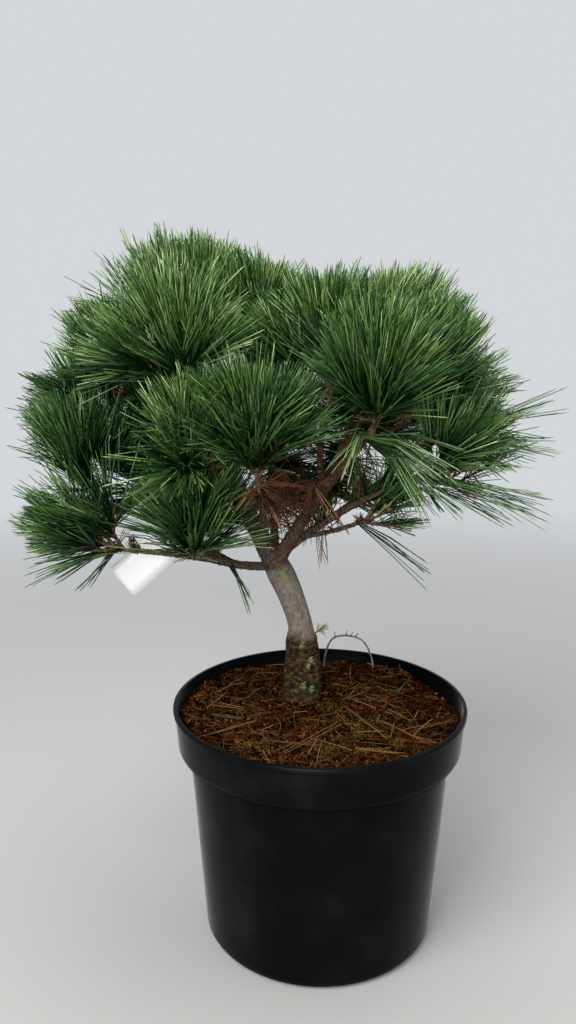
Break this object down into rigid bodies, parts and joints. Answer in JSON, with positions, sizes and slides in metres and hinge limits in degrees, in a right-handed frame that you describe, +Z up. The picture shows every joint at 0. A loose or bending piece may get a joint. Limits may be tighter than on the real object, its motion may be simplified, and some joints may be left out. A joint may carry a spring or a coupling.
{
  "type": "potted eastern white pine",
  "caption": "Low, rounded, grafted eastern white pine with long soft needles on bare boughs, in a round plastic nursery pot filled with peat mix.",
  "frame": {"origin": "centre of the pot's flat underside, on the surface it stands on", "axes": "+Z up along the pot's axis; the plant is seen from -Y in its usual view, with +X to the right"},
  "size_m": [0.5128, 0.4202, 0.6798],
  "materials": {
    "pot": "charcoal, lightly scuffed",
    "soil": "loose moist peat and coir",
    "bark": "thin grey-brown bark",
    "needles": "soft satin green",
    "label": "thin white film, blank"
  },
  "bodies": {
    "root": {"pot": "pot", "soil": "soil", "trunk": "bark", "bough_leader_left": "bark", "bough_leader_right": "bark", "bough_low_centre": "bark", "bough_low_left": "bark", "bough_left": "bark", "bough_left_inner": "bark", "bough_left_shoulder": "bark", "bough_left_upper": "bark", "bough_top_left": "bark", "bough_top_front": "bark", "bough_centre_top": "bark", "bough_centre_front": "bark", "bough_front_left": "bark", "bough_right_inner_top": "bark", "bough_right_top": "bark", "bough_right_shoulder": "bark", "bough_right_low": "bark", "bough_right_outer": "bark", "bough_right_tuft": "bark", "bough_rear_left": "bark", "bough_rear": "bark", "bough_rear_right": "bark", "bough_rear_top": "bark", "bough_rear_top_right": "bark", "bough_right_rear": "bark", "hang_label": "label", "needles_leader_left": "needles", "needles_leader_right": "needles", "needles_low_centre": "needles", "needles_low_left": "needles", "needles_left": "needles", "needles_left_inner": "needles", "needles_left_shoulder": "needles", "needles_left_upper": "needles", "needles_top_left": "needles", "needles_top_front": "needles", "needles_centre_top": "needles", "needles_centre_front": "needles", "needles_front_left": "needles", "needles_right_inner_top": "needles", "needles_right_top": "needles", "needles_right_shoulder": "needles", "needles_right_low": "needles", "needles_right_outer": "needles", "needles_right_tuft": "needles", "needles_rear_left": "needles", "needles_rear": "needles", "needles_rear_right": "needles", "needles_rear_top": "needles", "needles_rear_top_right": "needles", "needles_right_rear": "needles", "needles_trunk_sprout": "needles", "dead_twig": "bark"}
  },
  "joints": []
}
